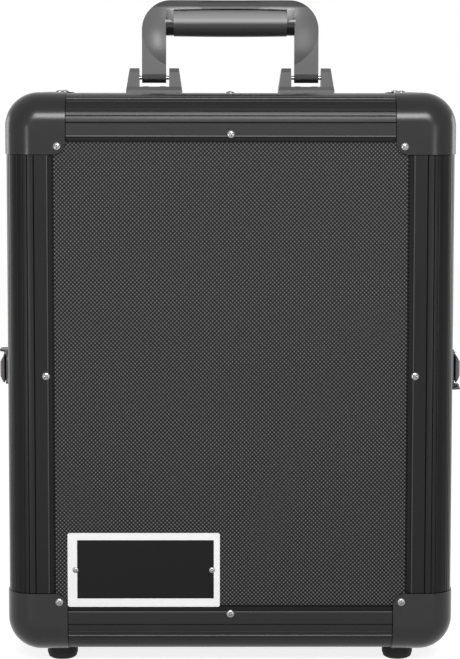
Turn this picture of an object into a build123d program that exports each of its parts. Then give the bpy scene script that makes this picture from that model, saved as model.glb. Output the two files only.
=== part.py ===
"""Upright flight case with a lift-off lid, a folding top handle and two twist latches.

Millimetres. +X is right, +Y is back and +Z is up. The lid is the front of the case, at -Y.
The part stands on its rubber feet at Z = 0, centred on X = 0 and Y = 0.
"""
import os

from build123d import *

os.makedirs("parts", exist_ok=True)

# Driving sizes of the case
WIDTH = 328.0
HEIGHT = 411.0
DEPTH = 140.0
LID_DEPTH = 54.0
FOOT_HEIGHT = 12.0

# Edge profiles and corners
FLANGE = 34.0
LID_LEG = 44.0
EDGE_RADIUS = 20.0
POST_RADIUS = 24.0
CAP_SIZE = 44.0
CAP_PROUD = 0.8
CAP_INNER_RADIUS = 9.0
SEAT = 1.8
PANEL_THICKNESS = 6.0
CHANNEL_WALL = 1.6
CHANNEL_START = 22.0

# Closing rims
LID_RIM_DEPTH = 10.0
BASE_RIM_DEPTH = 14.0
RIM_WEB = 6.0
SEAM_GAP = 0.2
TONGUE_INSET = 3.6
TONGUE_WIDTH = 2.4
TONGUE_HEIGHT = 3.0
TONGUE_CLEARANCE = 0.35
SPIGOT_HEIGHT = 6.0
SPIGOT_WIDTH = 2.2

# Linings
FOAM_SHEET = 20.0
LINER_THICKNESS = 15.0
FOAM_SETBACK = 36.0

# Screws and rivets
SCREW_HEAD_RADIUS = 3.0
SCREW_HEAD_HEIGHT = 1.5
SCREW_SHANK_RADIUS = 1.4
SCREW_LENGTH = 6.0
HEAD_SIDES = 8
SHANK_SIDES = 6
HEAD_TAPER = 28.0
FLANGE_SCREW_INSET = 29.2
LID_LEG_SCREW_INSET = 41.4
CAP_SCREW_INSET = 38.0
RIVET_RADIUS = 2.2
RIVET_HEIGHT = 1.1

# Rubber feet
FOOT_RADIUS = 11.4
FOOT_TIP_RADIUS = 8.2
FOOT_TREAD = 4.5
FOOT_HOLE_RADIUS = 4.2
FOOT_RECESS = 7.0
FOOT_INSET = CAP_SCREW_INSET
FOOT_SCREW_LENGTH = 10.0

# Badge
BADGE_WIDTH = 112.0
BADGE_HEIGHT = 55.0
BADGE_THICKNESS = 1.2
BADGE_CORNER = 1.6
BADGE_GAP = 0.2
BADGE_SCREW_INSET = 5.8
BADGE_SCREW_RADIUS = 2.2

# Handle
HANDLE_Y = 17.0
HANDLE_RISE = 69.6
PIVOT_RISE = 11.6
ARM_OUTER = 66.6
ARM_INNER = 48.4
ARM_THICKNESS = 8.0
HANDLE_CORNER = 22.0
HAND_CORNER = 5.5
BEAM_DEPTH = 16.0
BEAM_HALF_WIDTH = 46.0
BEAM_ROUNDING = 3.5
GRIP_RISE = 52.7
GRIP_RADIUS = 10.5
GRIP_BELLY = 0.4
GRIP_HALF_WIDTH = 42.6
COLLAR_RADIUS = 9.6
COLLAR_BITE = 0.5
BULGE_X = 35.4
BULGE_RISE = 50.5
BULGE_RADIUS = 32.0
BULGE_THICKNESS = 20.0
PIN_RADIUS = 1.5
PIN_CLEARANCE = 0.06
PIN_END = 1.0

# Lugs of the handle
LUG_OUTER = 78.3
LUG_INNER = 36.4
LUG_DEPTH = 30.0
LUG_FLOOR = 4.9
LUG_SHOULDER = 2.2
EAR_RISE = 18.7
EAR_OUTER = 75.8
EAR_INNER = 38.8
SLOT_OUTER = 68.7
SLOT_INNER = 46.0
EAR_FOOT = 24.0
EAR_CROWN = 9.0
EAR_CHAMFER = 3.0
LUG_RIVET_X = (51.0, 63.7)
LUG_RIVET_Y = 11.0

# Twist latch, with its own height s measured outward from the side face
LATCH_WIDTH = 30.0
LATCH_PLATE = 1.2
LATCH_FRONT = -15.0
LATCH_BACK = 33.5
KEEPER_FRONT = -33.0
KEEPER_BACK = -17.4
RIDGE_FRONT = -22.0
RIDGE_BACK = -19.4
RIDGE_TOP = 4.2
TAB_REACH = 8.3
EYE_RADIUS = 2.5
CLAW_AXIS_Y = 2.0
CLAW_AXIS_S = 3.7
CLAW_HALF_WIDTH = 10.0
CLAW_PIN_RADIUS = 1.3
CLAW_BARREL = 2.4
CLAW_TIP_Y = -24.8
CLAW_ARM_UNDER = 6.2
CLAW_ARM_TOP = 8.2
CLAW_TIP_UNDER = 4.55
ROTOR_Y = 20.0
ROTOR_RADIUS = 9.5
ROTOR_BOTTOM = 3.1
ROTOR_TOP = 5.6
BOSS_RADIUS = 11.5
BOSS_TOP = 3.0
STEM_RADIUS = 3.0
WING_AXIS_Y = 14.6
WING_AXIS_S = 7.3
WING_PIN_RADIUS = 1.1
WING_END_Y = 32.6
WING_HALF_WIDTH = 7.4
WING_SHOULDER_Y = 17.4
WING_CORNER = 3.0
WING_BEAD_TOP = 9.7
WING_EAR_RADIUS = 1.7
WING_EAR_START = 5.2
WING_EAR_WIDTH = 1.7
CLAW_HOOK = 1.9
CLAW_CROWN_HALF = 5.5
CLAW_SHOULDER = 5.6
CLAW_EAR_RADIUS = 2.5
CLAW_EAR_WIDTH = 1.6
LIP_HALF_WIDTH = 11.5
EYE_Y = -15.5
EYE_S = 4.8
KEEPER_TAB_FRONT = -29.0
KEEPER_TAB_BACK = -11.0
PLATE_TAB_FRONT = -20.0
PLATE_TAB_BACK = -7.0
KEEPER_RIVET_Y = -28.6
FRONT_RIVET_Y = -9.0
FRONT_RIVET_Z = 6.5
BACK_RIVET_Y = 30.8
BACK_RIVET_Z = 12.0
RUNNING_FIT = 0.05

# Places worked out from the driving sizes
RIGHT = WIDTH / 2
BOTTOM = FOOT_HEIGHT
TOP = FOOT_HEIGHT + HEIGHT
MIDDLE = (BOTTOM + TOP) / 2
FRONT = -DEPTH / 2
BADGE_LEFT = CAP_SIZE + BADGE_GAP - RIGHT
BADGE_BOTTOM = BOTTOM + FLANGE + BADGE_GAP
BACK = DEPTH / 2
SEAM = FRONT + LID_DEPTH
INNER_FACE = SEAT + PANEL_THICKNESS
CHANNEL_BACK = INNER_FACE + CHANNEL_WALL
PANEL_HALF_WIDTH = RIGHT - CHANNEL_START
PANEL_HALF_HEIGHT = HEIGHT / 2 - CHANNEL_START
SIDE_HALF_WIDTH = RIGHT - POST_RADIUS
SIDE_HALF_HEIGHT = HEIGHT / 2 - POST_RADIUS
PIVOT_Z = TOP + PIVOT_RISE
HANDLE_TOP = TOP + HANDLE_RISE
MID_PLANE = Plane(origin=(0, 0, MIDDLE), z_dir=(0, 0, 1))


def save(shape, name):
    """Write one named piece."""
    export_step(shape, f"parts/{name}.step")


def span(low_x, high_x, low_y, high_y, low_z, high_z):
    """Box between two corners."""
    centre = ((low_x + high_x) / 2, (low_y + high_y) / 2, (low_z + high_z) / 2)
    return Pos(*centre) * Box(high_x - low_x, high_y - low_y, high_z - low_z)


def flat(low_u, high_u, low_v, high_v):
    """Rectangle between two corners of a sketch."""
    centre = ((low_u + high_u) / 2, (low_v + high_v) / 2)
    return Pos(*centre) * Rectangle(high_u - low_u, high_v - low_v)


def joined(shapes):
    """One shape from several, as a plain fuse."""
    first, *others = shapes
    for other in others:
        first = first + other
    return first


def group(solids, name):
    """Separate solids kept together under one name."""
    save(Compound(children=list(solids)), name)


# Edge profiles


def corner_band(leg_u, leg_v, radius):
    """L-shaped wall of a profile, with its outer corner rounded."""
    outer = flat(0, leg_u, 0, leg_v)
    outer = fillet(outer.vertices().sort_by(lambda v: v.X + v.Y)[0], radius)
    inner = flat(SEAT, leg_u + 1, SEAT, leg_v + 1)
    inner = fillet(inner.vertices().sort_by(lambda v: v.X + v.Y)[0], radius - SEAT)
    return outer - inner


def channel(start):
    """Web and inner flange that hold a panel lying along u."""
    web = flat(start - CHANNEL_WALL, start, SEAT, CHANNEL_BACK)
    inner_flange = flat(start - CHANNEL_WALL, FLANGE, INNER_FACE, CHANNEL_BACK)
    return web + inner_flange


def two_channels(start):
    """A panel channel along each leg of a profile."""
    along_u = channel(start)
    return along_u + mirror(along_u, about=Plane(origin=(0, 0, 0), z_dir=(1, -1, 0)))


def face_ridges(section):
    """Lowered lip, raised ridge and fine grooves of a profile's wide face, along v = 0."""
    lip_start = 31.0
    lip_drop = 0.9
    section = section - flat(lip_start, FLANGE + 1, -1, lip_drop)
    ridge_width = 1.1
    ridge_height = 0.35
    section = section + flat(lip_start - ridge_width, lip_start, -ridge_height, ridge_height)
    groove_width = 0.9
    groove_depth = 0.45
    notch = Polygon(
        (groove_depth, -groove_width), (groove_depth, groove_width), (-groove_depth, 0), align=None
    )
    for angle in (11.5, 21.5, 34, 46, 55, 63):
        place = Pos(EDGE_RADIUS, EDGE_RADIUS) * Rot(0, 0, -90 - angle) * Pos(EDGE_RADIUS, 0)
        section = section - place * notch
    flat_groove = Pos(EDGE_RADIUS + groove_width, 0) * Rot(0, 0, -90) * notch
    return section - flat_groove


def lid_section():
    """Profile of the lid: wide face with a panel channel, and a long side leg."""
    return face_ridges(corner_band(FLANGE, LID_LEG, EDGE_RADIUS) + channel(CHANNEL_START))


def base_section():
    """Profile of the base: two equal legs, each with a panel channel."""
    return face_ridges(corner_band(FLANGE, FLANGE, EDGE_RADIUS) + two_channels(CHANNEL_START))


def post_section():
    """Section of a corner post between two side panels."""
    return corner_band(FLANGE, FLANGE, POST_RADIUS) + two_channels(POST_RADIUS)


def edge_set(section, prefix, left_screws, top_screws, at_back):
    """Four drilled profiles round one face, made on the front and turned to the back if asked."""
    upright_length = HEIGHT - 2 * CAP_SIZE
    level_length = WIDTH - 2 * CAP_SIZE
    left_plane = Plane(origin=(-RIGHT, FRONT, BOTTOM + CAP_SIZE), x_dir=(1, 0, 0), z_dir=(0, 0, 1))
    top_plane = Plane(origin=(-RIGHT + CAP_SIZE, FRONT, TOP), x_dir=(0, 0, -1), z_dir=(1, 0, 0))
    left = drilled(extrude(left_plane * section, upright_length), left_screws)
    top = drilled(extrude(top_plane * section, level_length), top_screws)
    edges = {
        "left": left,
        "right": mirror(left, about=Plane.YZ),
        "top": top,
        "bottom": mirror(top, about=MID_PLANE),
    }
    for side, edge in edges.items():
        if at_back:
            edge = mirror(edge, about=Plane.XZ)
        save(edge, f"{prefix}_{side}")


# Corner caps


def corner_block(size, inset, corner_radius, loop_radius):
    """Solid corner at the top left of the lid, inset evenly from the case's outer faces."""
    block = span(-RIGHT + inset, -RIGHT + size, FRONT + inset, FRONT + size, TOP - size, TOP - inset)
    upright = block.edges().filter_by(Axis.Y).sort_by(lambda e: e.center().X - e.center().Z)[0]
    block = fillet(upright, corner_radius)
    front_face = block.faces().sort_by(Axis.Y)[0]
    loop = [
        edge
        for edge in front_face.edges()
        if edge.center().X < -RIGHT + size - 1 and edge.center().Z > TOP - size + 1
    ]
    return fillet(loop, loop_radius)


def corner_cap():
    """Moulded corner cap: an even shell with each free corner rounded about its screw."""
    outer = corner_block(CAP_SIZE, -CAP_PROUD, POST_RADIUS + CAP_PROUD, EDGE_RADIUS + CAP_PROUD)
    inner = corner_block(CAP_SIZE + 1, SEAT, POST_RADIUS - SEAT, EDGE_RADIUS - SEAT)
    cap = outer - inner
    free_corners = [
        edge
        for edge in cap.edges()
        if edge.geom_type == GeomType.LINE
        and abs(edge.length - SEAT - CAP_PROUD) < 0.01
        and is_free_corner(edge.center())
    ]
    return fillet(free_corners, CAP_INNER_RADIUS)


def is_free_corner(point):
    """True where two cut sides of the cap meet."""
    on_side = abs(point.X + RIGHT - CAP_SIZE) < 0.01
    on_back = abs(point.Y - FRONT - CAP_SIZE) < 0.01
    on_floor = abs(point.Z - TOP + CAP_SIZE) < 0.01
    return on_side + on_back + on_floor == 2


def all_corners(shape):
    """The shape at the four corners of the lid, by mirroring."""
    top_right = mirror(shape, about=Plane.YZ)
    return {
        "top_left": shape,
        "top_right": top_right,
        "bottom_left": mirror(shape, about=MID_PLANE),
        "bottom_right": mirror(top_right, about=MID_PLANE),
    }


def make_caps():
    """Eight corner caps, each drilled for its three screws."""
    cap = drilled(corner_cap(), cap_screws())
    for corner, cap in all_corners(cap).items():
        save(cap, f"lid_cap_{corner}")
        save(mirror(cap, about=Plane.XZ), f"base_cap_{corner}")


def make_posts():
    """Four rounded posts between the base rim and the base caps."""
    length = BACK - CAP_SIZE - SEAM - BASE_RIM_DEPTH
    plane = Plane(
        origin=(-RIGHT, SEAM + BASE_RIM_DEPTH + length, TOP), x_dir=(1, 0, 0), z_dir=(0, -1, 0)
    )
    section = mirror(post_section(), about=Plane.XZ)
    post = extrude(plane * section, length)
    for corner, piece in all_corners(post).items():
        save(piece, f"base_post_{corner}")


# Rims


def ring(outer_inset, inner_inset, low_y, high_y):
    """Rounded ring round the case between two depths."""
    plane = Plane(origin=(0, high_y, MIDDLE), x_dir=(1, 0, 0), z_dir=(0, -1, 0))
    outer = RectangleRounded(
        WIDTH - 2 * outer_inset, HEIGHT - 2 * outer_inset, POST_RADIUS - outer_inset
    )
    inner = RectangleRounded(
        WIDTH - 2 * inner_inset, HEIGHT - 2 * inner_inset, POST_RADIUS - inner_inset
    )
    return extrude(plane * (outer - inner), high_y - low_y)


def make_lid_rim():
    """Lid rim: a flat ring with a groove for the tongue, and a spigot inside the profiles."""
    body_front = SEAM - LID_RIM_DEPTH
    body = ring(0, CHANNEL_BACK, body_front, SEAM - SEAM_GAP)
    spigot = ring(SEAT, SEAT + SPIGOT_WIDTH, body_front - SPIGOT_HEIGHT, body_front)
    groove = ring(
        TONGUE_INSET - TONGUE_CLEARANCE,
        TONGUE_INSET + TONGUE_WIDTH + TONGUE_CLEARANCE,
        SEAM - TONGUE_HEIGHT - TONGUE_CLEARANCE,
        SEAM,
    )
    save(body + spigot - groove, "lid_rim")


def make_base_rim():
    """Base rim: a channel for the side panels, with the tongue on its front."""
    back = SEAM + BASE_RIM_DEPTH
    web_back = SEAM + RIM_WEB
    web = ring(0, CHANNEL_BACK, SEAM, web_back)
    outer_lip = ring(0, SEAT, web_back, back)
    inner_lip = ring(INNER_FACE, CHANNEL_BACK, web_back, back)
    tongue = ring(TONGUE_INSET, TONGUE_INSET + TONGUE_WIDTH, SEAM - TONGUE_HEIGHT, SEAM)
    save(web + outer_lip + inner_lip + tongue, "base_rim")


# Panels and linings


def make_panels():
    """Front and back panels, and the four side panels, all held in channels."""
    front = span(
        -PANEL_HALF_WIDTH,
        PANEL_HALF_WIDTH,
        FRONT + SEAT,
        FRONT + INNER_FACE,
        MIDDLE - PANEL_HALF_HEIGHT,
        MIDDLE + PANEL_HALF_HEIGHT,
    )
    save(front, "lid_panel")
    save(mirror(front, about=Plane.XZ), "back_panel")
    low_y = SEAM + RIM_WEB
    high_y = BACK - CHANNEL_START
    top = span(-SIDE_HALF_WIDTH, SIDE_HALF_WIDTH, low_y, high_y, TOP - INNER_FACE, TOP - SEAT)
    left = span(
        -RIGHT + SEAT,
        -RIGHT + INNER_FACE,
        low_y,
        high_y,
        MIDDLE - SIDE_HALF_HEIGHT,
        MIDDLE + SIDE_HALF_HEIGHT,
    )
    save(top, "side_panel_top")
    save(mirror(top, about=MID_PLANE), "side_panel_bottom")
    save(left, "side_panel_left")
    save(mirror(left, about=Plane.YZ), "side_panel_right")


def make_foam():
    """Foam sheet in the lid, foam pad on the back panel and foam liner round the base."""
    half_width = RIGHT - FOAM_SETBACK
    half_height = HEIGHT / 2 - FOAM_SETBACK
    sheet_front = FRONT + INNER_FACE
    sheet = span(
        -half_width,
        half_width,
        sheet_front,
        sheet_front + FOAM_SHEET,
        MIDDLE - half_height,
        MIDDLE + half_height,
    )
    save(sheet, "lid_foam")
    save(mirror(sheet, about=Plane.XZ), "base_foam_pad")
    liner_back = BACK - INNER_FACE - FOAM_SHEET
    plane = Plane(origin=(0, liner_back, MIDDLE), x_dir=(1, 0, 0), z_dir=(0, -1, 0))
    outer_width = WIDTH - 2 * CHANNEL_BACK
    outer_height = HEIGHT - 2 * CHANNEL_BACK
    outer = RectangleRounded(outer_width, outer_height, POST_RADIUS - CHANNEL_BACK)
    inner = Rectangle(outer_width - 2 * LINER_THICKNESS, outer_height - 2 * LINER_THICKNESS)
    liner = extrude(plane * (outer - inner), liner_back - SEAM - BASE_RIM_DEPTH)
    save(liner, "base_foam_liner")


# Screws and rivets


def fastener(head_radius, head_height, shank_length):
    """Screw or rivet in plain flat-sided form: a tapered head on its own XY plane, the shank below."""
    head = extrude(RegularPolygon(head_radius, HEAD_SIDES), head_height, taper=HEAD_TAPER)
    shank = extrude(RegularPolygon(SCREW_SHANK_RADIUS, SHANK_SIDES), -shank_length)
    return head + shank


def seated(shape, point, outward):
    """The shape moved so that its own +Z points outward at the point."""
    return Plane(origin=point, z_dir=outward).location * shape


def drilled(part, places):
    """The part with a clearance hole for the screw at each place, and room round its head."""
    drill = extrude(RegularPolygon(SCREW_SHANK_RADIUS + RUNNING_FIT, SHANK_SIDES), -2 * SCREW_LENGTH)
    spot_face = extrude(RegularPolygon(SCREW_HEAD_RADIUS + RUNNING_FIT, HEAD_SIDES), SCREW_HEAD_HEIGHT)
    for point, facing in places:
        part = part - seated(drill + spot_face, point, facing)
    return part


def left_flange_screw():
    """Place of the screw in the middle of the left profile's wide face."""
    return (-RIGHT + FLANGE_SCREW_INSET, FRONT, MIDDLE), (0, -1, 0)


def left_leg_screw():
    """Place of the screw in the middle of the left profile's side leg."""
    return (-RIGHT, FRONT + FLANGE_SCREW_INSET, MIDDLE), (-1, 0, 0)


def top_flange_screw():
    """Place of the screw in the middle of the top profile's wide face."""
    return (0, FRONT, TOP - FLANGE_SCREW_INSET), (0, -1, 0)


def top_leg_screw(inset):
    """Place of the screw in the middle of the top profile's side leg."""
    return (0, FRONT + inset, TOP), (0, 0, 1)


def cap_screws():
    """Places of the three screws of the top left corner cap."""
    across = -RIGHT + CAP_SCREW_INSET
    back = FRONT + CAP_SCREW_INSET
    up = TOP - CAP_SCREW_INSET
    return [
        ((across, FRONT - CAP_PROUD, up), (0, -1, 0)),
        ((-RIGHT - CAP_PROUD, back, up), (-1, 0, 0)),
        ((across, back, TOP + CAP_PROUD), (0, 0, 1)),
    ]


def left_and_right(shapes):
    """The shapes with their mirror images across the case."""
    return [*shapes, *(mirror(shape, about=Plane.YZ) for shape in shapes)]


def top_and_bottom(shapes):
    """The shapes with their mirror images at the other end of the case."""
    return [*shapes, *(mirror(shape, about=MID_PLANE) for shape in shapes)]


def foot_screw():
    """Screw that holds the front left foot, seated inside its recess."""
    screw = fastener(SCREW_HEAD_RADIUS, SCREW_HEAD_HEIGHT, FOOT_SCREW_LENGTH)
    return seated(screw, (-RIGHT + FOOT_INSET, FRONT + FOOT_INSET, FOOT_RECESS), (0, 0, -1))


def screw_set(leg_screws, top_leg):
    """Screws of one half of the case, as if it were the front."""
    screw = fastener(SCREW_HEAD_RADIUS, SCREW_HEAD_HEIGHT, SCREW_LENGTH)
    front_cap, side_cap, top_cap = (seated(screw, *place) for place in cap_screws())
    sides = [seated(screw, *place) for place in (left_flange_screw(), *leg_screws)]
    ends = [seated(screw, *top_flange_screw()), seated(screw, *top_leg_screw(top_leg))]
    return [
        *left_and_right(top_and_bottom([front_cap, side_cap])),
        *left_and_right([top_cap, foot_screw(), *sides]),
        *top_and_bottom(ends),
    ]


def make_screws():
    """Screws of the lid and of the base."""
    group(screw_set([], LID_LEG_SCREW_INSET), "lid_screws")
    behind = screw_set([left_leg_screw()], FLANGE_SCREW_INSET)
    group([mirror(screw, about=Plane.XZ) for screw in behind], "base_screws")


# Rubber feet


def make_feet():
    """Four round rubber feet, each with a bevelled tread and a recess for its screw."""
    top = BOTTOM - CAP_PROUD
    outline = Polyline(
        (FOOT_TIP_RADIUS, 0),
        (FOOT_HOLE_RADIUS, 0),
        (FOOT_HOLE_RADIUS, FOOT_RECESS),
        (SCREW_SHANK_RADIUS, FOOT_RECESS),
        (SCREW_SHANK_RADIUS, top),
        (FOOT_RADIUS, top),
        (FOOT_RADIUS, FOOT_TREAD),
        (FOOT_RADIUS - 1.1, FOOT_TREAD * 0.28),
        close=True,
    )
    foot = revolve(Plane.XZ * make_face(outline), Axis.Z)
    for end, depth in (("front", FRONT + FOOT_INSET), ("back", BACK - FOOT_INSET)):
        for side, across in (("left", -RIGHT + FOOT_INSET), ("right", RIGHT - FOOT_INSET)):
            save(Pos(across, depth, 0) * foot, f"foot_{end}_{side}")


# Badge


def badge_screw_places():
    """Middles of the badge's two short borders, on its front face."""
    height = BADGE_BOTTOM + BADGE_HEIGHT / 2
    front = FRONT + SEAT - BADGE_THICKNESS
    return [
        (BADGE_LEFT + BADGE_SCREW_INSET, front, height),
        (BADGE_LEFT + BADGE_WIDTH - BADGE_SCREW_INSET, front, height),
    ]


def make_badge():
    """Plain name plate screwed to the front panel."""
    centre = (BADGE_LEFT + BADGE_WIDTH / 2, FRONT + SEAT, BADGE_BOTTOM + BADGE_HEIGHT / 2)
    plane = Plane(origin=centre, x_dir=(1, 0, 0), z_dir=(0, -1, 0))
    outline = RectangleRounded(BADGE_WIDTH, BADGE_HEIGHT, BADGE_CORNER)
    places = [(point, (0, -1, 0)) for point in badge_screw_places()]
    plate = drilled(extrude(plane * outline, BADGE_THICKNESS), places)
    save(plate, "badge_plate")
    screw = fastener(BADGE_SCREW_RADIUS, SCREW_HEAD_HEIGHT * 0.7, SCREW_LENGTH)
    group([seated(screw, *place) for place in places], "badge_screws")


# Handle


def along_x(radius, low_x, high_x, z):
    """Round bar along X in the handle's middle plane."""
    start = Plane(origin=(low_x, HANDLE_Y, z), z_dir=(1, 0, 0)).location
    return start * Cylinder(radius, high_x - low_x, align=(Align.CENTER, Align.CENTER, Align.MIN))


def bow_block(low, high, half_width, radius, depth):
    """Block of the handle between two heights, with its two upper corners rounded."""
    block = span(-half_width, half_width, HANDLE_Y - depth / 2, HANDLE_Y + depth / 2, low, high)
    upper = block.edges().filter_by(Axis.Y).group_by(Axis.Z)[-1]
    return fillet(upper, radius)


def bow(depth):
    """Flat bow of the handle, from its pivots up, with the hand's opening cut out."""
    outer = bow_block(PIVOT_Z, HANDLE_TOP, ARM_OUTER, HANDLE_CORNER, depth)
    return outer - bow_block(PIVOT_Z - 1, TOP + GRIP_RISE, ARM_INNER, HAND_CORNER, 2 * depth)


def bulge():
    """Lens that swells the right shoulder: it leaves the flat arm along a circle."""
    rise = (BULGE_THICKNESS - ARM_THICKNESS) / 2
    radius = (BULGE_RADIUS**2 + rise**2) / (2 * rise)
    reach = radius - BULGE_THICKNESS / 2
    height = TOP + BULGE_RISE
    front = Pos(BULGE_X, HANDLE_Y + reach, height) * Sphere(radius)
    back = Pos(BULGE_X, HANDLE_Y - reach, height) * Sphere(radius)
    return front & back


def make_handle():
    """Bow handle: flat arms on pivots, swelling shoulders, and a cross beam over a round soft grip."""
    grip_top = TOP + GRIP_RISE + GRIP_RADIUS
    grip_axis = TOP + GRIP_RISE
    beam = span(
        -BEAM_HALF_WIDTH, BEAM_HALF_WIDTH, HANDLE_Y - BEAM_DEPTH / 2, HANDLE_Y + BEAM_DEPTH / 2,
        grip_top, HANDLE_TOP,
    )
    beam = fillet(beam.edges().filter_by(Axis.X).group_by(Axis.Z)[-1], BEAM_ROUNDING)
    shoulder = bow(2 * BULGE_THICKNESS) & bulge()
    collar = along_x(COLLAR_RADIUS, GRIP_HALF_WIDTH, ARM_INNER + COLLAR_BITE, grip_axis)
    hub = along_x(ARM_THICKNESS / 2, ARM_INNER, ARM_OUTER, PIVOT_Z)
    frame = joined([bow(ARM_THICKNESS), beam, *left_and_right([shoulder, collar, hub])])
    recess_half = GRIP_RADIUS + GRIP_BELLY + 2
    frame = frame - span(
        -GRIP_HALF_WIDTH, GRIP_HALF_WIDTH, HANDLE_Y - recess_half, HANDLE_Y + recess_half,
        grip_axis - recess_half, grip_top,
    )
    for bore in left_and_right([along_x(PIN_RADIUS + PIN_CLEARANCE, ARM_INNER, ARM_OUTER, PIVOT_Z)]):
        frame = frame - bore
    save(frame, "handle_frame")
    save(make_grip(grip_axis), "handle_grip")


def make_grip(axis_height):
    """Soft round grip, a little fuller in the middle, that fills the recess under the beam."""
    end = GRIP_RADIUS - GRIP_BELLY
    half = GRIP_HALF_WIDTH
    lower = Polyline((half, end), (half, 0), (-half, 0), (-half, end))
    belly = ThreePointArc((-half, end), (0, GRIP_RADIUS), (half, end))
    return Pos(0, HANDLE_Y, axis_height) * revolve(make_face(lower + belly), Axis.X)


def handle_lug():
    """Right-hand lug: a low base with two tapering ears that carry the pivot."""
    front_outline = Polygon(
        (LUG_INNER, -SEAT), (LUG_OUTER, -SEAT), (LUG_OUTER, LUG_SHOULDER), (EAR_OUTER, EAR_RISE),
        (SLOT_OUTER, EAR_RISE), (SLOT_OUTER, LUG_FLOOR), (SLOT_INNER, LUG_FLOOR), (SLOT_INNER, EAR_RISE),
        (EAR_INNER, EAR_RISE), (LUG_INNER, LUG_SHOULDER), align=None,
    )
    half = LUG_DEPTH / 2
    foot = EAR_FOOT / 2
    crown = EAR_CROWN / 2
    brow = EAR_RISE - EAR_CHAMFER
    side_outline = Polygon(
        (-half, -SEAT), (half, -SEAT), (half, LUG_SHOULDER), (foot, LUG_FLOOR), (crown + EAR_CHAMFER, brow),
        (crown, EAR_RISE), (-crown, EAR_RISE), (-crown - EAR_CHAMFER, brow), (-foot, LUG_FLOOR),
        (-half, LUG_SHOULDER), align=None,
    )
    facing = Plane(origin=(0, HANDLE_Y + half, TOP), x_dir=(1, 0, 0), z_dir=(0, -1, 0))
    sideways = Plane(origin=(LUG_INNER, HANDLE_Y, TOP), x_dir=(0, 1, 0), z_dir=(1, 0, 0))
    across = extrude(sideways * side_outline, LUG_OUTER - LUG_INNER)
    lug = extrude(facing * front_outline, LUG_DEPTH) & across
    return lug - along_x(PIN_RADIUS, LUG_INNER, LUG_OUTER, PIVOT_Z)


def make_lugs():
    """Two handle lugs with their pins and rivets."""
    rivet_top = TOP + LUG_FLOOR
    places = [
        ((x, HANDLE_Y + y, rivet_top), (0, 0, 1)) for x in LUG_RIVET_X for y in (-LUG_RIVET_Y, LUG_RIVET_Y)
    ]
    lug = drilled(handle_lug(), places)
    rivet = fastener(RIVET_RADIUS, RIVET_HEIGHT, LUG_FLOOR + SEAT + SCREW_LENGTH)
    group(left_and_right([seated(rivet, *place) for place in places]), "lug_rivets")
    pin = along_x(PIN_RADIUS, EAR_INNER - PIN_END, EAR_OUTER + PIN_END, PIVOT_Z)
    save(lug, "handle_lug_right")
    save(pin, "handle_pin_right")
    save(mirror(lug, about=Plane.YZ), "handle_lug_left")
    save(mirror(pin, about=Plane.YZ), "handle_pin_left")


# Twist latches, built on the left side


def outward(low_s, high_s, low_y, high_y, low_z, high_z):
    """Box on the left side, from its height above the side face and its place on that face."""
    return span(-RIGHT - high_s, -RIGHT - low_s, low_y, high_y, MIDDLE + low_z, MIDDLE + high_z)


def disc(radius, low_s, high_s, y, z=0.0):
    """Round boss standing on the left side."""
    location = Plane(origin=(-RIGHT - low_s, y, MIDDLE + z), z_dir=(-1, 0, 0)).location
    return location * Cylinder(radius, high_s - low_s, align=(Align.CENTER, Align.CENTER, Align.MIN))


def rod(radius, s, y, low_z, high_z):
    """Upright rod beside the left side."""
    return Pos(-RIGHT - s, y, MIDDLE + low_z) * Cylinder(
        radius, high_z - low_z, align=(Align.CENTER, Align.CENTER, Align.MIN)
    )


def side_profile(sketch, low_z, high_z):
    """Sketch in (y, s) extruded between two heights beside the left side."""
    plane = Plane(origin=(-RIGHT, 0, MIDDLE + low_z), x_dir=(0, 1, 0), z_dir=(0, 0, 1))
    return extrude(plane * sketch, high_z - low_z, dir=(0, 0, 1))


def eye_tab(front, back, low_z, high_z, foot):
    """Upright tab with the padlock eye."""
    outline = Polygon(
        (front, foot), (back, foot), (back, TAB_REACH - 4), (back - 3, TAB_REACH), (front + 3, TAB_REACH),
        (front, TAB_REACH - 4), align=None,
    )
    eye = Pos(EYE_Y, EYE_S) * Circle(EYE_RADIUS)
    return side_profile(outline - eye, low_z, high_z)


def keeper():
    """Keeper on the lid: plate, raised lip for the claw and padlock tab."""
    half = LATCH_WIDTH / 2
    plate = outward(0, LATCH_PLATE, KEEPER_FRONT, KEEPER_BACK, -half, half)
    lip = Polygon(
        (RIDGE_FRONT, 0), (RIDGE_BACK + 1.2, 0), (RIDGE_BACK, RIDGE_TOP - 0.6), (RIDGE_BACK - 0.6, RIDGE_TOP),
        (RIDGE_FRONT + 0.4, RIDGE_TOP), (RIDGE_FRONT, RIDGE_TOP - 0.4), align=None,
    )
    lip = side_profile(lip, -LIP_HALF_WIDTH, LIP_HALF_WIDTH)
    tab = eye_tab(KEEPER_TAB_FRONT, KEEPER_TAB_BACK, half - LATCH_PLATE, half, LATCH_PLATE + 0.2)
    root = outward(0, LATCH_PLATE + 0.2, KEEPER_TAB_FRONT, KEEPER_BACK, half - LATCH_PLATE, half)
    return joined([plate, lip, tab, root])


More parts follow.
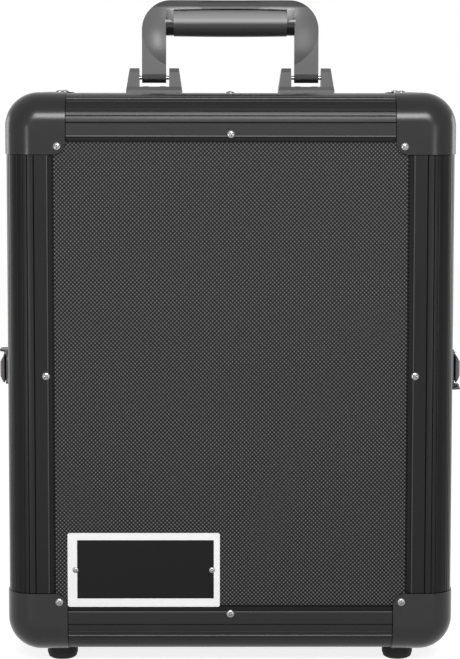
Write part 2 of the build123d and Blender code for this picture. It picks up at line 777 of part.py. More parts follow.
def latch_plate():
    """Latch plate on the base: packer, plate, rotor boss, claw ears and padlock tab."""
    half = LATCH_WIDTH / 2
    plate = outward(0, LATCH_PLATE, LATCH_FRONT, LATCH_BACK, -half, half)
    packer = outward(-SEAT, 0, SEAM + BASE_RIM_DEPTH + 0.2, LATCH_BACK, -half, half)
    boss_base = Plane(origin=(-RIGHT - LATCH_PLATE, ROTOR_Y, MIDDLE), z_dir=(-1, 0, 0)).location
    boss_height = BOSS_TOP - LATCH_PLATE
    boss = boss_base * Cone(
        BOSS_RADIUS, BOSS_RADIUS - 1.5, boss_height, align=(Align.CENTER, Align.CENTER, Align.MIN)
    )
    crown = Pos(CLAW_AXIS_Y, CLAW_AXIS_S) * Circle(CLAW_EAR_RADIUS)
    neck = flat(
        CLAW_AXIS_Y - CLAW_EAR_RADIUS, CLAW_AXIS_Y + CLAW_EAR_RADIUS, LATCH_PLATE - 0.2, CLAW_AXIS_S
    )
    ear_start = CLAW_HALF_WIDTH + 0.3
    ear = side_profile(crown + neck, ear_start, ear_start + CLAW_EAR_WIDTH)
    ears = top_and_bottom([ear])
    tab_high = half - LATCH_PLATE - 0.2
    tab_low = tab_high - LATCH_PLATE
    tab = eye_tab(PLATE_TAB_FRONT, PLATE_TAB_BACK, tab_low, tab_high, LATCH_PLATE + 0.2)
    root = outward(0, LATCH_PLATE + 0.2, LATCH_FRONT, PLATE_TAB_BACK, tab_low, tab_high)
    body = joined([plate, packer, boss, *ears, tab, root])
    body = body - disc(STEM_RADIUS + RUNNING_FIT, -SEAT - 1, BOSS_TOP + 1, ROTOR_Y)
    return body - rod(CLAW_PIN_RADIUS, CLAW_AXIS_S, CLAW_AXIS_Y, -half, half)


def claw():
    """Claw: a barrel on the pin and a rising arm with bevelled sides, hooked over the keeper lip."""
    hook_back = CLAW_TIP_Y + CLAW_HOOK
    arm = Polygon(
        (CLAW_AXIS_Y, CLAW_AXIS_S + CLAW_BARREL - 0.1),
        (CLAW_TIP_Y + 9, CLAW_ARM_TOP - 0.2),
        (CLAW_TIP_Y + 2.4, CLAW_ARM_TOP),
        (CLAW_TIP_Y, CLAW_ARM_TOP - 1.6),
        (CLAW_TIP_Y, CLAW_TIP_UNDER + 0.5),
        (CLAW_TIP_Y + 0.5, CLAW_TIP_UNDER),
        (hook_back, CLAW_TIP_UNDER),
        (hook_back, CLAW_ARM_UNDER),
        (RIDGE_BACK + 0.8, CLAW_ARM_UNDER),
        (CLAW_AXIS_Y - 1, CLAW_AXIS_S - 2.0),
        align=None,
    )
    barrel = Pos(CLAW_AXIS_Y, CLAW_AXIS_S) * Circle(CLAW_BARREL - 0.1)
    bore = Pos(CLAW_AXIS_Y, CLAW_AXIS_S) * Circle(CLAW_PIN_RADIUS + RUNNING_FIT)
    bar = side_profile(arm + barrel - bore, -CLAW_HALF_WIDTH, CLAW_HALF_WIDTH)
    crown = Polygon(
        (CLAW_HALF_WIDTH, 0), (CLAW_HALF_WIDTH, CLAW_SHOULDER), (CLAW_CROWN_HALF, CLAW_ARM_TOP),
        (-CLAW_CROWN_HALF, CLAW_ARM_TOP), (-CLAW_HALF_WIDTH, CLAW_SHOULDER), (-CLAW_HALF_WIDTH, 0), align=None,
    )
    barrel_back = CLAW_AXIS_Y + CLAW_BARREL
    reach = barrel_back - CLAW_TIP_Y
    across = Plane(origin=(-RIGHT, barrel_back, MIDDLE), x_dir=(0, 0, 1), z_dir=(0, -1, 0))
    return bar & extrude(across * crown, reach)


def rotor():
    """Rotor: a disc on a stem, with two ears for the wing."""
    body = disc(ROTOR_RADIUS, ROTOR_BOTTOM, ROTOR_TOP, ROTOR_Y)
    stem = disc(STEM_RADIUS, -SEAT + 0.4, ROTOR_BOTTOM, ROTOR_Y)
    cheek = Pos(WING_AXIS_Y, WING_AXIS_S) * Circle(WING_EAR_RADIUS)
    neck = flat(WING_AXIS_Y - WING_EAR_RADIUS, WING_AXIS_Y + WING_EAR_RADIUS, ROTOR_TOP - 0.2, WING_AXIS_S)
    bore = Pos(WING_AXIS_Y, WING_AXIS_S) * Circle(WING_PIN_RADIUS + RUNNING_FIT)
    ear = side_profile(cheek + neck - bore, WING_EAR_START, WING_EAR_START + WING_EAR_WIDTH)
    return joined([body, stem, *top_and_bottom([ear])])


def wing():
    """Folding wing: a barrel and pin between the rotor's ears, and a flat grip with a raised end."""
    barrel_half = WING_EAR_START - 0.2
    pin_half = WING_EAR_START + WING_EAR_WIDTH
    barrel_radius = WING_AXIS_S - ROTOR_TOP - 0.1
    barrel = rod(barrel_radius, WING_AXIS_S, WING_AXIS_Y, -barrel_half, barrel_half)
    pin = rod(WING_PIN_RADIUS, WING_AXIS_S, WING_AXIS_Y, -pin_half, pin_half)
    low_s = WING_AXIS_S - 1.3
    high_s = WING_AXIS_S + 1.3
    neck = outward(low_s, high_s, WING_AXIS_Y, WING_SHOULDER_Y, -barrel_half, barrel_half)
    blade = outward(low_s, high_s, WING_SHOULDER_Y, WING_END_Y, -WING_HALF_WIDTH, WING_HALF_WIDTH)
    bead = outward(low_s, WING_BEAD_TOP, WING_END_Y - 5, WING_END_Y, -WING_HALF_WIDTH, WING_HALF_WIDTH)
    grip = blade + bead
    grip = fillet(grip.edges().filter_by(Axis.X).group_by(Axis.Y)[-1], WING_CORNER)
    return joined([barrel, pin, neck, grip])


def turned(shape):
    """The left side's piece turned half a turn about Y to the right side."""
    return Pos(0, 0, MIDDLE) * Rot(0, 180, 0) * Pos(0, 0, -MIDDLE) * shape


def make_latches():
    """Two twist latches with their keepers, rivets and claw pins."""
    keeper_places = [((-RIGHT - LATCH_PLATE, KEEPER_RIVET_Y, MIDDLE + z), (-1, 0, 0)) for z in (-8, 8)]
    plate_places = [
        ((-RIGHT - LATCH_PLATE, y, MIDDLE + z), (-1, 0, 0))
        for y, reach in ((FRONT_RIVET_Y, FRONT_RIVET_Z), (BACK_RIVET_Y, BACK_RIVET_Z))
        for z in (-reach, reach)
    ]
    rivet = fastener(RIVET_RADIUS, RIVET_HEIGHT, LATCH_PLATE + SCREW_LENGTH)
    half_pin = CLAW_HALF_WIDTH + 0.3 + CLAW_EAR_WIDTH
    pin = rod(CLAW_PIN_RADIUS, CLAW_AXIS_S, CLAW_AXIS_Y, -half_pin, half_pin)
    pieces = {
        "keeper": drilled(keeper(), keeper_places),
        "latch_plate": drilled(latch_plate(), plate_places),
        "claw": claw(),
        "rotor": rotor(),
        "wing": wing(),
    }
    for name, piece in pieces.items():
        save(piece, f"{name}_left")
        save(turned(piece), f"{name}_right")
    groups = {
        "keeper_rivets": [seated(rivet, *place) for place in keeper_places],
        "latch_rivets": [seated(rivet, *place) for place in plate_places],
        "claw_pins": [pin],
    }
    for name, solids in groups.items():
        group([*solids, *(turned(solid) for solid in solids)], name)


def main():
    """Write every piece."""
    edge_set(
        lid_section(), "lid_edge", [left_flange_screw()],
        [top_flange_screw(), top_leg_screw(LID_LEG_SCREW_INSET)], at_back=False,
    )
    edge_set(
        base_section(), "base_edge", [left_flange_screw(), left_leg_screw()],
        [top_flange_screw(), top_leg_screw(FLANGE_SCREW_INSET)], at_back=True,
    )
    make_caps()
    make_posts()
    make_lid_rim()
    make_base_rim()
    make_panels()
    make_foam()
    make_screws()
    make_feet()
    make_badge()
    make_handle()
    make_lugs()
    make_latches()


main()
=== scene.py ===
"""Looks of the flight case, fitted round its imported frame. Metres, +Z up, lid towards -Y."""
import math
import random

import bmesh
import bpy
from mathutils import Euler, Matrix, Vector


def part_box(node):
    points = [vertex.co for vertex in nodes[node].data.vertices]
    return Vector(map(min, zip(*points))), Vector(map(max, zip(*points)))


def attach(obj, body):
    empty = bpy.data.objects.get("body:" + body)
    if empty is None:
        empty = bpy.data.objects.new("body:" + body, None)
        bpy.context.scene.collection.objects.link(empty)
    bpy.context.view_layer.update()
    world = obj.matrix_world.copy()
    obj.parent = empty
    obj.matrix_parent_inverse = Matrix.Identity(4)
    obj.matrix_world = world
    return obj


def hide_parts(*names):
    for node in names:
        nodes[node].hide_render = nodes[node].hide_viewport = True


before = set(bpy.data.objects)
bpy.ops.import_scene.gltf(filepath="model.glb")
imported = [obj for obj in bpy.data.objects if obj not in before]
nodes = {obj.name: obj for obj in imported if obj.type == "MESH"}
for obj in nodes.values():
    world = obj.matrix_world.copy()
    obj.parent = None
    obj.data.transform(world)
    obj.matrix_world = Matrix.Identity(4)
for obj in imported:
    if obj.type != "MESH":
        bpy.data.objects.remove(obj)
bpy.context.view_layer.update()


# Aluminium edge profiles, corner posts and closing rims
# Black anodised extrusions with a grooved round edge, cut to length and held by screws.
# Fine draw lines run along each length, and the anodising varies a little from place to place.
UPRIGHT_SHEEN = 0.011
LEVEL_SHEEN = 0.019
# Colour of the profiles' inner lip beside the panels: near black, as painted shade.
LIP_PAINTED_SHADE = 0.010
# Width and brightness of a painted highlight line on the ridge just outside the lip.
RIDGE_HIGHLIGHT_WIDTH = 0.0008
RIDGE_HIGHLIGHT_GAIN = 3.5
DRAW_LINE_SCALE = 900
CLOUD_SCALE = 14
# Beyond these the profiles are painted black, as a thin painted shadow line at the corner caps' edges.
CAP_EDGE_X = 0.1194
CAP_EDGE_RISE = 0.1609
MID_HEIGHT = 0.2175
LIP_INNER_X = 0.133
LIP_LOW_Z = 0.043
LIP_HIGH_Z = 0.392


class Graph:
    """Node tree of one material, or of the room's light."""

    def __init__(self, name, is_room=False):
        self.holder = bpy.data.worlds.new(name) if is_room else bpy.data.materials.new(name)
        self.holder.use_nodes = True
        self.tree = self.holder.node_tree
        self.shader = self.tree.nodes["Background" if is_room else "Principled BSDF"]

    def node(self, kind, settings=None, **values):
        """Add a node, set its settings, then its sockets' values or links."""
        made = self.tree.nodes.new(kind)
        for key, value in (settings or {}).items():
            if key == "stops":
                while len(made.color_ramp.elements) < len(value):
                    made.color_ramp.elements.new(0.5)
                for element, (place, level) in zip(made.color_ramp.elements, value):
                    element.position = place
                    element.color = (level, level, level, 1)
            else:
                setattr(made, key, value)
        for key, value in values.items():
            self.feed(made.inputs[int(key[1:]) if key[1:].isdigit() else key.replace("_", " ")], value)
        return made

    def feed(self, socket, value):
        """Link or set one socket."""
        if isinstance(value, Value):
            self.tree.links.new(value.socket, socket)
        elif isinstance(value, bpy.types.NodeSocket):
            self.tree.links.new(value, socket)
        else:
            socket.default_value = value

    def value(self, node, output=0):
        """Wrap one output of a node."""
        return Value(self, node.outputs[output])

    def place(self):
        """The three object coordinates, in metres."""
        coordinates = self.node("ShaderNodeTexCoord")
        parts = self.node("ShaderNodeSeparateXYZ", None, i0=coordinates.outputs["Object"])
        return [self.value(parts, axis) for axis in range(3)]

    def noise(self, scale, detail=3.0, roughness=0.5, stretch=(1, 1, 1)):
        """Noise over the object, from 0 to 1."""
        coordinates = self.node("ShaderNodeTexCoord")
        mapping = self.node("ShaderNodeMapping", None, Vector=coordinates.outputs["Object"], Scale=stretch)
        texture = self.node(
            "ShaderNodeTexNoise", None, Vector=mapping.outputs[0], Scale=scale, Detail=detail,
            Roughness=roughness,
        )
        return self.value(texture)

    def ramp(self, value, stops):
        """Grey ramp of a value."""
        return self.value(self.node("ShaderNodeValToRGB", {"stops": stops}, i0=value))

    def mix(self, factor, first, second):
        """Colour between two colours."""
        made = self.node("ShaderNodeMix", {"data_type": "RGBA"})
        self.feed(made.inputs[0], factor)
        self.feed(made.inputs[6], first)
        self.feed(made.inputs[7], second)
        return made.outputs[2]

    def bump(self, height, strength, distance):
        """Relief on the shader's normal."""
        made = self.node("ShaderNodeBump", None, Height=height, Strength=strength, Distance=distance)
        self.feed(self.shader.inputs["Normal"], made.outputs[0])

    def finish(self, **values):
        """Set or link the shader's own sockets."""
        for key, value in values.items():
            self.feed(self.shader.inputs[key.replace("_", " ")], value)
        return self.holder


class Value:
    """Number socket with arithmetic."""

    def __init__(self, graph, socket):
        self.graph = graph
        self.socket = socket

    def maths(self, operation, first, second=0.0):
        made = self.graph.node("ShaderNodeMath", {"operation": operation}, i0=first, i1=second)
        return self.graph.value(made)

    def __add__(self, other):
        return self.maths("ADD", self, other)

    def __radd__(self, other):
        return self.maths("ADD", other, self)

    def __sub__(self, other):
        return self.maths("SUBTRACT", self, other)

    def __mul__(self, other):
        return self.maths("MULTIPLY", self, other)

    def cosine(self):
        return self.maths("COSINE", self)

    def between(self, low, high):
        return self.maths("GREATER_THAN", self, low) * self.maths("LESS_THAN", self, high)


def grey(level):
    """Neutral colour."""
    return (level, level, level, 1)


def dress(material, *names):
    """Give CAD nodes a material on all their slots."""
    for name in names:
        piece = nodes[name]
        if not piece.material_slots:
            piece.data.materials.append(material)
        for slot in piece.material_slots:
            slot.link = "OBJECT"
            slot.material = material


def anodised(name, stretch, level, joint_axis):
    graph = Graph(name)
    lines = graph.noise(DRAW_LINE_SCALE, 2, 0.6, stretch)
    clouds = graph.noise(CLOUD_SCALE, 3)
    place = graph.place()
    # Painted shade: the inner lip beside the panel is painted near black and made rougher.
    lip_shade = place[0].between(-LIP_INNER_X, LIP_INNER_X) * place[2].between(LIP_LOW_Z, LIP_HIGH_Z)
    sheen = graph.mix(clouds, grey(level * 0.85), grey(level * 1.15))
    # Painted highlight: a thin band just outside the lip gets a brighter metal colour.
    ridge_highlight = place[0].between(-LIP_INNER_X - RIDGE_HIGHLIGHT_WIDTH, LIP_INNER_X + RIDGE_HIGHLIGHT_WIDTH)
    ridge_highlight = ridge_highlight * place[2].between(LIP_LOW_Z - RIDGE_HIGHLIGHT_WIDTH, LIP_HIGH_Z + RIDGE_HIGHLIGHT_WIDTH)
    colour = graph.mix(ridge_highlight, sheen, grey(level * RIDGE_HIGHLIGHT_GAIN))
    colour = graph.mix(lip_shade, colour, grey(LIP_PAINTED_SHADE))
    # Painted shadow: from just short of the corner caps outwards, the profile is painted black.
    if joint_axis == 0:
        colour = graph.mix(place[0].between(-CAP_EDGE_X, CAP_EDGE_X), grey(0), colour)
    if joint_axis == 2:
        unshaded_between_caps = place[2].between(MID_HEIGHT - CAP_EDGE_RISE, MID_HEIGHT + CAP_EDGE_RISE)
        colour = graph.mix(unshaded_between_caps, grey(0), colour)
    graph.bump(lines, 0.10, 0.0001)
    return graph.finish(Base_Color=colour, Metallic=0.85, Roughness=0.28 + lines * 0.12 + lip_shade * 0.4)


upright_metal = anodised("anodised_upright", (1, 1, 0.01), UPRIGHT_SHEEN, 2)
level_metal = anodised("anodised_level", (0.01, 1, 1), LEVEL_SHEEN, 0)
depth_metal = anodised("anodised_depth", (1, 0.01, 1), UPRIGHT_SHEEN, 1)
HALVES = ("lid", "base")
CORNERS = ("top_left", "top_right", "bottom_left", "bottom_right")
for half in HALVES:
    dress(upright_metal, f"{half}_edge_left", f"{half}_edge_right")
    dress(level_metal, f"{half}_edge_top", f"{half}_edge_bottom")
    dress(depth_metal, f"{half}_rim")
dress(depth_metal, *(f"base_post_{corner}" for corner in CORNERS))


# Corner caps
# Injection-moulded black plastic, satin all over, with a very slight flow unevenness.
# Each fills the corner where the square-cut profiles end, and takes three screws.
CAP_BLACK = 0.010


def moulded(name, level, roughness, shine, grain=2600):
    graph = Graph(name)
    fine = graph.noise(grain, 2)
    broad = graph.noise(45, 3)
    graph.bump(fine * 0.7 + broad * 0.6, 0.08, 0.0002)
    colour = graph.mix(broad, grey(level * 0.9), grey(level * 1.1))
    return graph.finish(Base_Color=colour, Roughness=roughness + broad * 0.06, Specular_IOR_Level=shine)


cap_plastic = moulded("cap_plastic", CAP_BLACK, 0.2, 0.3)
dress(cap_plastic, *(f"{half}_cap_{corner}" for half in HALVES for corner in CORNERS))


# Laminated panels
# Plywood faced with black laminate, pressed with a lattice of small raised studs.
# Alternate rows are offset by half a pitch. The stud tops are painted lighter and the hollows near black,
# as painted highlight and painted shade, and a band round the edge of the front and back panels is painted
# in the hollow colour, as painted shadow of the profiles' lip.
STUD_PITCH_ACROSS = 0.00291
STUD_PITCH_ALONG = 0.00298
# Painted highlight colour of the stud tops, and painted shade colour of the hollows.
STUD_TOP_PAINTED_HIGHLIGHT = 0.12
STUD_VALLEY_PAINTED_SHADE = 0.001
# Outside this field the front and back panels are painted in the hollow colour, as painted shadow of the
# profiles' lip.
UNSHADED_PANEL_FIELD = (0.1285, 0.0475, 0.3875)


def laminate(name, across, along, unshaded_field=None):
    graph = Graph(name)
    place = graph.place()
    wave_across = (place[across] * (2 * math.pi / STUD_PITCH_ACROSS)).cosine()
    wave_along = (place[along] * (2 * math.pi / STUD_PITCH_ALONG)).cosine()
    height = graph.ramp(wave_across * wave_along * 0.5 + 0.5, [(0.35, 0), (0.65, 0.30), (1.0, 1)])
    wear = graph.noise(30, 4)
    painted_stud_light = height
    # Outside the given field the studs stay in the hollow colour: a painted shadow round the panel's edge.
    if unshaded_field:
        half_width, low, high = unshaded_field
        painted_stud_light = height * place[across].between(-half_width, half_width) * place[along].between(low, high)
    # Painted highlight on the stud tops and painted shade in the hollows between them.
    colour = graph.mix(painted_stud_light, grey(STUD_VALLEY_PAINTED_SHADE), grey(STUD_TOP_PAINTED_HIGHLIGHT))
    graph.bump(height, 0.8, 0.0004)
    return graph.finish(Base_Color=colour, Roughness=0.45 + wear * 0.12, Specular_IOR_Level=0.1)


dress(laminate("laminate_front", 0, 2, UNSHADED_PANEL_FIELD), "lid_panel", "back_panel")
dress(laminate("laminate_top", 0, 1), "side_panel_top", "side_panel_bottom")
dress(laminate("laminate_side", 1, 2), "side_panel_left", "side_panel_right")


# Foam linings
# Charcoal open-cell foam: a sheet in the lid, a pad on the back and a liner round the base.
# Cut from flat stock and glued in, so its edges are soft but its faces stay flat.
FOAM_CORNER = 0.004
FLAT_ANGLE = 0.01


def foam_material():
    graph = Graph("foam")
    cells = graph.noise(1400, 3, 0.7)
    broad = graph.noise(60, 2)
    graph.bump(cells + broad * 0.4, 0.6, 0.0006)
    colour = graph.mix(cells, grey(0.02), grey(0.07))
    return graph.finish(Base_Color=colour, Roughness=0.95)


foam = foam_material()


def cleaned(node_name):
    """Editable copy of a CAD node's mesh, with its faces joined along their edges."""
    build = bmesh.new()
    build.from_mesh(nodes[node_name].data)
    bmesh.ops.remove_doubles(build, verts=build.verts, dist=1e-6)
    return build


def piece_from(name, build, material):
    """New object from an edited mesh."""
    mesh = bpy.data.meshes.new(name)
    build.to_mesh(mesh)
    build.free()
    mesh.materials.append(material)
    piece = bpy.data.objects.new(name, mesh)
    bpy.context.scene.collection.objects.link(piece)
    return piece


def lining(node_name, body):
    """Foam piece over a CAD node, with softened edges."""
    build = cleaned(node_name)
    bmesh.ops.dissolve_limit(build, angle_limit=FLAT_ANGLE, verts=build.verts, edges=build.edges)
    for face in build.faces:
        face.smooth = True
    piece = piece_from(f"{node_name}_soft", build, foam)
    rounding = piece.modifiers.new("rounding", "BEVEL")
    rounding.width = FOAM_CORNER
    rounding.segments = 4
    rounding.limit_method = "ANGLE"
    rounding.harden_normals = True
    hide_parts(node_name)
    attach(piece, body)


lining("lid_foam", "lid")
lining("base_foam_pad", "base")
lining("base_foam_liner", "base")


# Screws and rivets
# Nickel-plated steel: domed screws with a cross recess, and plain domed rivets.
# They hold the caps, profiles, feet, name plate, lugs and latches.
HEAD_STEPS = 36
DOME_RINGS = 7
RIM_SHARE = 0.18
CROSS_REACH = 0.62
CROSS_WIDTH = 0.17
CROSS_DEPTH = 0.75
NICKEL = 0.24
MOUTH_RISE = 1.2
SOLE_SHARE = 0.6
CRISP_ANGLE = 40
SHANK_RADIUS = 0.0014
CASE_CENTRE = Vector((0, 0, MID_HEIGHT))
MODELLED_HEADS = {
    "lid_screws": 0.0015,
    "base_screws": 0.0015,
    "badge_screws": 0.00105,
    "lug_rivets": 0.0011,
    "keeper_rivets": 0.0011,
    "latch_rivets": 0.0011,
}
HEAD_HEIGHTS = {**MODELLED_HEADS, "lug_rivets": 0.0003}


def metal_material(name, level, roughness):
    graph = Graph(name)
    rub = graph.noise(1500, 3)
    graph.bump(rub, 0.05, 0.0001)
    return graph.finish(Base_Color=grey(level), Metallic=1.0, Roughness=roughness + rub * 0.12)


nickel = metal_material("nickel", NICKEL, 0.16)


def solids_of(node_name):
    """Lowest and highest corners of each separate solid of a CAD node."""
    build = cleaned(node_name)
    left = set(build.verts)
    boxes = []
    while left:
        edge_of_search = [left.pop()]
        found = []
        while edge_of_search:
            vertex = edge_of_search.pop()
            found.append(vertex.co.copy())
            for edge in vertex.link_edges:
                other = edge.other_vert(vertex)
                if other in left:
                    left.remove(other)
                    edge_of_search.append(other)
        low = Vector([min(point[axis] for point in found) for axis in range(3)])
        high = Vector([max(point[axis] for point in found) for axis in range(3)])
        boxes.append((low, high))
    build.free()
    return sorted(boxes, key=lambda box: tuple(box[0]))


def turned_head(head_radius, head_height, shank_radius, shank_length):
    """Domed head and shank turned about Z, with the seat at Z = 0."""
    rim = head_height * RIM_SHARE
    profile = [(0.0, -shank_length), (shank_radius, -shank_length), (shank_radius, 0.0), (head_radius, 0.0)]
    for ring in range(DOME_RINGS + 1):
        turn = math.pi / 2 * ring / DOME_RINGS
        profile.append((head_radius * math.cos(turn), rim + (head_height - rim) * math.sin(turn)))
    build = bmesh.new()
    points = [build.verts.new((radius, 0, height)) for radius, height in profile]
    line = [build.edges.new(pair) for pair in zip(points, points[1:])]
    bmesh.ops.spin(
        build, geom=points + line, axis=(0, 0, 1), cent=(0, 0, 0), steps=HEAD_STEPS, angle=2 * math.pi
    )
    bmesh.ops.remove_doubles(build, verts=build.verts, dist=1e-6)
    bmesh.ops.recalc_face_normals(build, faces=build.faces)
    return build


def cross_cutter(head_radius, head_height):
    """Tapered cross that cuts the driver recess."""
    reach = head_radius * CROSS_REACH
    width = head_radius * CROSS_WIDTH
    quarter = [(reach, -width), (reach, width), (width, width)]
    outline = []
    for turn in range(4):
        spin = Matrix.Rotation(turn * math.pi / 2, 2)
        outline += [spin @ Vector(point) for point in quarter]
    build = bmesh.new()
    floor_level = head_height * (1 - CROSS_DEPTH)
    mouth = [build.verts.new((*point, head_height * MOUTH_RISE)) for point in outline]
    sole = [build.verts.new((*(point * SOLE_SHARE), floor_level)) for point in outline]
    build.faces.new(mouth)
    build.faces.new(reversed(sole))
    for place, point in enumerate(mouth):
        following = (place + 1) % len(mouth)
        build.faces.new((point, sole[place], sole[following], mouth[following]))
    bmesh.ops.recalc_face_normals(build, faces=build.faces)
    return build


def recessed(head, cutter):
    """Mesh of a head with the cross cut out of it."""
    blank = piece_from("blank", head, nickel)
    tool = piece_from("tool", cutter, nickel)
    cut = blank.modifiers.new("cut", "BOOLEAN")
    cut.operation = "DIFFERENCE"
    cut.object = tool
    view = bpy.context.evaluated_depsgraph_get()
    mesh = bpy.data.meshes.new_from_object(blank.evaluated_get(view))
    bpy.data.objects.remove(blank)
    bpy.data.objects.remove(tool)
    return mesh


def fasten(node_name, body, has_cross, seed):
    """Detailed heads in place of a node's plain fasteners."""
    chance = random.Random(seed)
    build = bmesh.new()
    templates = {}
    for low, high in solids_of(node_name):
        size = high - low
        axis = max(range(3), key=lambda way: size[way])
        middle = (low + high) / 2
        sign = 1 if middle[axis] > CASE_CENTRE[axis] else -1
        head_radius = min(size[way] for way in range(3) if way != axis) / 2
        head_height = HEAD_HEIGHTS[node_name]
        length = size[axis] - MODELLED_HEADS[node_name]
        key = round(length, 4)
        if key not in templates:
            head = turned_head(head_radius, head_height, SHANK_RADIUS, length)
            if has_cross:
                templates[key] = recessed(head, cross_cutter(head_radius, head_height))
            else:
                templates[key] = bpy.data.meshes.new("plain_head")
                head.to_mesh(templates[key])
                head.free()
        seat = middle.copy()
        seat[axis] = (high if sign > 0 else low)[axis] - sign * MODELLED_HEADS[node_name]
        outward = Vector([sign if way == axis else 0 for way in range(3)])
        turn = outward.to_track_quat("Z", "Y").to_matrix().to_4x4()
        place = Matrix.Translation(seat) @ turn @ Matrix.Rotation(chance.uniform(0, math.pi), 4, "Z")
        before = len(build.verts)
        build.from_mesh(templates[key])
        build.verts.ensure_lookup_table()
        bmesh.ops.transform(build, matrix=place, verts=build.verts[before:])
    for face in build.faces:
        face.smooth = True
    piece = piece_from(f"{node_name}_heads", build, nickel)
    crisp = piece.modifiers.new("crisp", "EDGE_SPLIT")
    crisp.split_angle = math.radians(CRISP_ANGLE)
    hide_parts(node_name)
    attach(piece, body)


fasten("lid_screws", "lid", True, 1)
fasten("base_screws", "base", True, 2)
fasten("badge_screws", "lid", True, 3)
fasten("lug_rivets", "base", False, 4)
fasten("keeper_rivets", "lid", False, 5)
fasten("latch_rivets", "base", False, 6)


# Rubber feet
# Moulded black rubber, dull and finely grained, two under the lid and two under the base.
# Each is held by one long screw.
RUBBER_BLACK = 0.012
rubber = moulded("foot_rubber", RUBBER_BLACK, 0.62, 0.2, 3000)
dress(rubber, *(f"foot_{end}_{side}" for end in ("front", "back") for side in ("left", "right")))


# Name plate
# Thin metal plate, painted white round the edge with a plain black field.
# Two small screws hold it to the lower left of the panel.
PLATE_BORDER = (0.0070, 0.0044, 0.0062, 0.0052)
PLATE_WHITE = 0.65
PLATE_BLACK = 0.003


def plate_material():
    graph = Graph("plate_paint")
    low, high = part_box("badge_plate")
    left, right, foot, head = PLATE_BORDER
    place = graph.place()
    across = place[0].between(low[0] + left, high[0] - right)
    up = place[2].between(low[2] + foot, high[2] - head)
    scuff = graph.noise(300, 4)
    colour = graph.mix(across * up, grey(PLATE_WHITE), grey(PLATE_BLACK))
    graph.bump(scuff, 0.03, 0.0001)
    return graph.finish(Base_Color=colour, Roughness=0.34 + scuff * 0.1, Specular_IOR_Level=0.12)


dress(plate_material(), "badge_plate")


# Carrying handle
# Moulded dark grey frame with swelling shoulders on two lugs, and a softer round grip in its bar.
# Steel pins through the lugs let it fold down to the front or the back.
HANDLE_GREY = 0.085
LUG_GREY = 0.085
# Near-black colour painted on the knuckles' undersides and in the recesses at the grip's ends, as painted
# shade.
KNUCKLE_AND_COLLAR_PAINTED_SHADE = 0.008
# The beam's top is painted darker by this share, as painted shade.
CROWN_PAINTED_SHADE_SHARE = 0.2
HAND_HALF_GAP = 0.0484
PIVOT_TOP_Z = 0.4372
BEAM_SHOULDER_Z = 0.4873
COLLAR_LOW_Z = 0.4660
COLLAR_HIGH_Z = 0.4852
# The grip's lower half is painted dark and its upper half light, as painted shade and painted light.
GRIP_PAINTED_SHADE = 0.025
GRIP_PAINTED_LIGHT = 0.2
GRIP_AXIS_Z = 0.4757


def bow_material():
    graph = Graph("handle_plastic")
    across, _, height = graph.place()
    fine = graph.noise(2600, 2)
    broad = graph.noise(45, 3)
    # Painted shade: the frame below the pivot tops is painted near black.
    painted_knuckle_shade = graph.ramp(height * 10 - PIVOT_TOP_Z * 10 + 0.5, [(0.498, 1), (0.502, 0)])
    # Painted shade: the top of the beam, above its shoulders, is painted darker and made rougher.
    painted_crown_shade = graph.ramp(height * 10 - BEAM_SHOULDER_Z * 10 + 0.5, [(0.49, 0), (0.51, 1)])
    # Painted shade: the recess round each end of the grip is painted near black.
    painted_collar_shade = height.between(COLLAR_LOW_Z, COLLAR_HIGH_Z) * across.between(-HAND_HALF_GAP, HAND_HALF_GAP)
    painted_shade = painted_knuckle_shade + painted_collar_shade
    grain = graph.mix(broad, grey(HANDLE_GREY * 0.9), grey(HANDLE_GREY * 1.1))
    colour = graph.mix(painted_crown_shade, grain, grey(HANDLE_GREY * CROWN_PAINTED_SHADE_SHARE))
    colour = graph.mix(painted_shade, colour, grey(KNUCKLE_AND_COLLAR_PAINTED_SHADE))
    graph.bump(fine * 0.7 + broad * 0.4, 0.06, 0.0002)
    roughness = 0.22 + broad * 0.06 + painted_crown_shade * 0.4
    return graph.finish(Base_Color=colour, Roughness=roughness, Specular_IOR_Level=0.4)


handle_plastic = bow_material()
lug_plastic = moulded("lug_plastic", LUG_GREY, 0.34, 0.4)


def grip_material():
    graph = Graph("grip_rubber")
    fine = graph.noise(2200, 3)
    streaks = graph.noise(60, 3, 0.5, (0.15, 1, 1))
    height = graph.place()[2] - GRIP_AXIS_Z
    # Painted light and shade: the grip's upper half is painted lighter than its lower half, with random
    # streaks over it.
    painted_top_light = graph.ramp(height * 100 + 0.5, [(0.38, 0), (0.62, 1)])
    colour = graph.mix(painted_top_light * (streaks * 0.5 + 0.75), grey(GRIP_PAINTED_SHADE), grey(GRIP_PAINTED_LIGHT))
    graph.bump(fine, 0.1, 0.0002)
    return graph.finish(Base_Color=colour, Roughness=0.38 + fine * 0.1, Specular_IOR_Level=0.3)


grip_rubber = grip_material()
dress(handle_plastic, "handle_frame")
dress(lug_plastic, "handle_lug_left", "handle_lug_right")
dress(grip_rubber, "handle_grip")
dress(nickel, "handle_pin_left", "handle_pin_right")


# Twist latches
# Black-plated pressed steel: a keeper on the lid, and a plate, claw, rotor and wing on the base.
# The claw turns on a bright pin and hooks over the keeper's lip.
PLATING_SHEEN = 0.06
plated = metal_material("black_plating", PLATING_SHEEN, 0.3)
for side in ("left", "right"):
    dress(plated, *(f"{piece}_{side}" for piece in ("keeper", "latch_plate", "claw", "rotor", "wing")))
dress(nickel, "claw_pins")


# Stage
# Pale floor in a room that shows white to the camera and in reflections.
# One broad lamp above the camera, two weak ones low at its sides, and two behind the case.
FLOOR_HALF = 4.0
PAPER_GLOW = 0.82
PAPER_GREY = 0.5
ROOM_LEVEL = 0.15


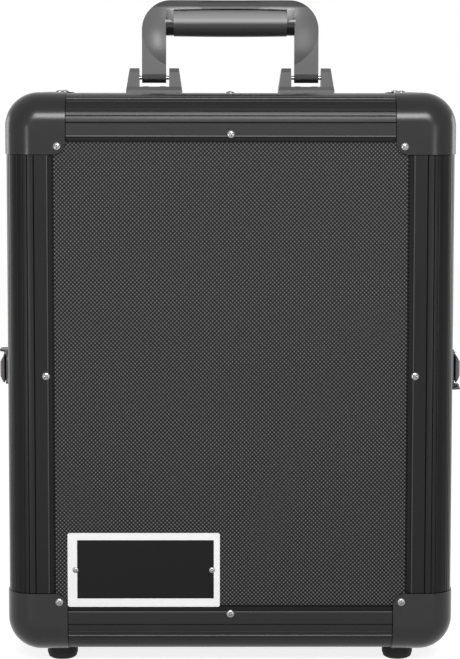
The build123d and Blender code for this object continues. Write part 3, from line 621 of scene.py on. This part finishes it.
def seen_directly(graph):
    """One for rays from the camera and in reflections, nought for the rest."""
    rays = graph.node("ShaderNodeLightPath")
    seen = graph.value(rays, "Is Camera Ray") + graph.value(rays, "Is Glossy Ray")
    return seen + graph.value(rays, "Is Transmission Ray")


def stage_material():
    graph = Graph("pale_paper")
    graph.feed(graph.shader.inputs["Emission Color"], graph.mix(seen_directly(graph), grey(0), grey(1)))
    return graph.finish(Base_Color=grey(PAPER_GREY), Roughness=0.9, Emission_Strength=PAPER_GLOW)


def room_light():
    graph = Graph("room", is_room=True)
    level = seen_directly(graph) * (1 - ROOM_LEVEL) + ROOM_LEVEL
    return graph.finish(Color=grey(1), Strength=level)


floor_build = bmesh.new()
bmesh.ops.create_grid(floor_build, x_segments=1, y_segments=1, size=FLOOR_HALF)
piece_from("floor", floor_build, stage_material())

scene = bpy.context.scene
scene.view_settings.view_transform = "Standard"
scene.world = room_light()


def lamp(name, place, target, size, power):
    """Rectangular soft lamp aimed at a point."""
    data = bpy.data.lights.new(name, "AREA")
    data.shape = "RECTANGLE"
    data.size, data.size_y = size
    data.energy = power
    holder = bpy.data.objects.new(name, data)
    scene.collection.objects.link(holder)
    holder.location = place
    holder.rotation_euler = (target - Vector(place)).to_track_quat("-Z", "Y").to_euler()


MIDDLE = Vector((0, 0, 0.25))
SHOULDERS = Vector((0, 0, 0.45))
lamp("key", (0.05, -1.35, 0.92), MIDDLE, (0.9, 0.4), 24)
lamp("left", (-0.6, -1.05, 0.2), SHOULDERS, (0.07, 0.3), 2.4)
lamp("right", (0.62, -1.05, 0.22), SHOULDERS, (0.3, 0.4), 1.6)
lamp("rear_left", (-1.7, 1.1, 0.45), MIDDLE, (0.8, 0.8), 6)
lamp("rear_right", (1.7, 1.1, 0.45), MIDDLE, (0.8, 0.8), 6)


# Camera
# A long lens in front of the lid, a little higher than the case's top and left of its middle.
# It is tipped down towards the middle of the case.
CAMERA_PLACE = Vector((-0.0126, -1.8394, 0.4294))
CAMERA_TARGET = Vector((-0.0005, -0.0700, 0.2518))
CAMERA_ROLL = 0.0011
LENS = 133.26
camera_data = bpy.data.cameras.new("camera")
camera = bpy.data.objects.new("camera", camera_data)
scene.collection.objects.link(camera)
scene.camera = camera
camera.location = CAMERA_PLACE
aim = (CAMERA_TARGET - CAMERA_PLACE).to_track_quat("-Z", "Y")
roll = Euler((0, 0, CAMERA_ROLL)).to_quaternion()
camera.rotation_euler = (aim @ roll).to_euler()
camera_data.sensor_fit = "VERTICAL"
camera_data.sensor_height = 36.0
camera_data.lens = LENS
camera_data.clip_end = 20
